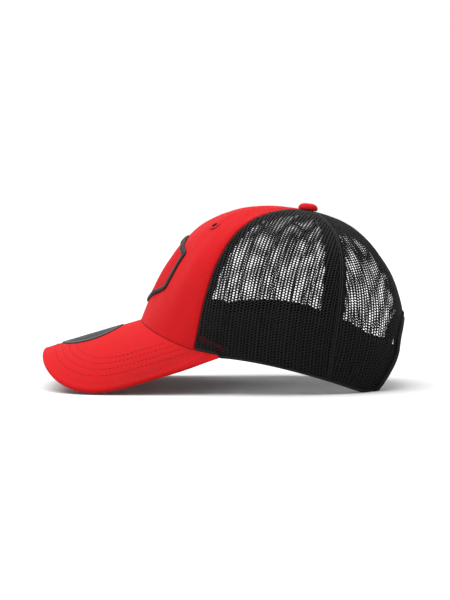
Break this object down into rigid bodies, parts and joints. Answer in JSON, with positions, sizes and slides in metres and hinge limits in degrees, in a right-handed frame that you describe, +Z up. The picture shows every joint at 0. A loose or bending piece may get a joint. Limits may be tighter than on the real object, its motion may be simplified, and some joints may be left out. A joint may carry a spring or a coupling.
{
  "type": "trucker mesh cap",
  "caption": "Baseball-style cap with solid front panels, open mesh sides and back, a curved visor, a top button and a rear opening closed by a snap strap.",
  "frame": {"origin": "on the surface the cap stands on, under the middle of its length and width", "axes": "+Z up, -Y towards the visor's front edge, +X towards the wearer's left"},
  "size_m": [0.161, 0.2691, 0.1374],
  "materials": {
    "red_twill": "matt cotton twill",
    "black_mesh": "knitted polyester mesh",
    "black_lining": "matt woven cloth",
    "black_tape": "woven tape",
    "visor_board": "plain polyethylene sheet",
    "black_plastic": "satin moulded",
    "black_thread": "satin stitch",
    "red_thread": "satin stitch",
    "grey_vinyl": "smooth printed film",
    "steel": "plated"
  },
  "bodies": {
    "cap": {"front_panel_left": "red_twill", "front_panel_right": "red_twill", "front_lining_left": "black_lining", "front_lining_right": "black_lining", "side_mesh_left": "black_mesh", "side_mesh_right": "black_mesh", "rear_mesh_left": "black_mesh", "rear_mesh_right": "black_mesh", "tape_centre_front": "black_tape", "tape_front_seam_left": "black_tape", "tape_front_seam_right": "black_tape", "tape_rear_seam_left": "black_tape", "tape_rear_seam_right": "black_tape", "tape_centre_back": "black_tape", "arch_binding": "black_tape", "visor_seam_allowance": "red_twill", "sweatband": "black_lining", "visor_top_cover": "red_twill", "visor_board": "visor_board", "visor_under_cover": "red_twill", "visor_sticker": "grey_vinyl", "button": "red_twill", "button_rivet": "steel", "eyelet_left": "red_thread", "eyelet_right": "red_thread", "emblem_border": "black_thread", "emblem_fill": "red_thread", "snap_strap_tab_left": "black_plastic", "snap_strap_tab_right": "black_plastic"},
    "hole_strap": {"snap_strap_holes": "black_plastic"},
    "peg_strap": {"snap_strap_pegs": "black_plastic"}
  },
  "joints": [
    {"name": "hole_strap_swing", "type": "hinge", "parent": "cap", "child": "hole_strap", "pos_m": [0.037, 0.11372, 0.0175], "axis": [0, 0, -1], "range_deg": [0, 55], "stiffness_Nm_per_rad": 0.003},
    {"name": "peg_strap_swing", "type": "hinge", "parent": "cap", "child": "peg_strap", "pos_m": [-0.037, 0.11222, 0.0175], "axis": [0, 0, -1], "range_deg": [0, 60], "stiffness_Nm_per_rad": 0.003}
  ]
}
